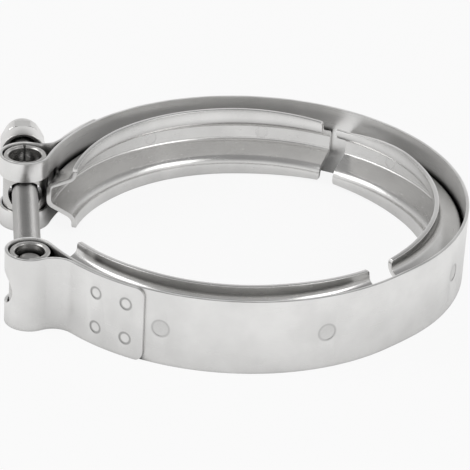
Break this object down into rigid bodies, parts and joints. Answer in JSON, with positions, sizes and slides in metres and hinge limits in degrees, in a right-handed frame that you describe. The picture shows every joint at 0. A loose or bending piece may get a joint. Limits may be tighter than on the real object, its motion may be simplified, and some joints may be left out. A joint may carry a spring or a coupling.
{
  "type": "v band clamp",
  "caption": "Steel V band clamp: a strap with V section retainers inside, pulled together by a T head bolt through a trunnion, with a thrust sleeve and a lock nut.",
  "frame": {"origin": "centre of the clamp's bore, on the bore's axis, halfway up the strap", "axes": "+Z along the bore's axis, upward as the clamp lies; +X from the bore's centre away from the latch; +Y from the T head towards the nut side"},
  "size_m": [0.1427, 0.1308, 0.0224],
  "materials": {
    "strap_steel": "bright satin stainless steel strip, fine rolling grain along its length",
    "retainer_steel": "satin stainless steel, roll formed",
    "bolt_steel": "bright cold formed steel, rolled thread",
    "sleeve_steel": "rolled steel sheet, satin",
    "nut_steel": "turned steel, semi bright"
  },
  "bodies": {
    "band": {"band_strap": "strap_steel", "front_retainer": "retainer_steel", "right_retainer": "retainer_steel", "rear_retainer": "retainer_steel"},
    "bolt": {"t_bolt": "bolt_steel", "bolt_sleeve": "sleeve_steel"},
    "trunnion": {"trunnion": "sleeve_steel"},
    "thrust_sleeve": {"thrust_sleeve": "nut_steel"},
    "nut": {"lock_nut": "nut_steel"}
  },
  "joints": [
    {"name": "bolt_swing", "type": "hinge", "parent": "band", "child": "bolt", "pos_m": [-0.06081, -0.04501, 0], "axis": [0, 0, 1], "range_deg": [-0.8, 0.8]},
    {"name": "trunnion_turn", "type": "hinge", "parent": "band", "child": "trunnion", "pos_m": [-0.0684, 0.01367, 0], "axis": [0, 0, 1], "range_deg": [-1.2, 1.2]},
    {"name": "sleeve_slide", "type": "slide", "parent": "bolt", "child": "thrust_sleeve", "axis": [0.1282, -0.9917, 0], "range_m": [0, 0.0138]},
    {"name": "nut_turn", "type": "hinge", "parent": "thrust_sleeve", "child": "nut", "pos_m": [-0.07228, 0.04367, 0], "axis": [0.1282, -0.9917, 0], "range_deg": [0, 4967]}
  ],
  "couplings": [
    {"joint": "trunnion_turn", "follows": "bolt_swing", "ratio": 1},
    {"joint": "sleeve_slide", "follows": "nut_turn", "m_per_rad": 0.00015915}
  ]
}
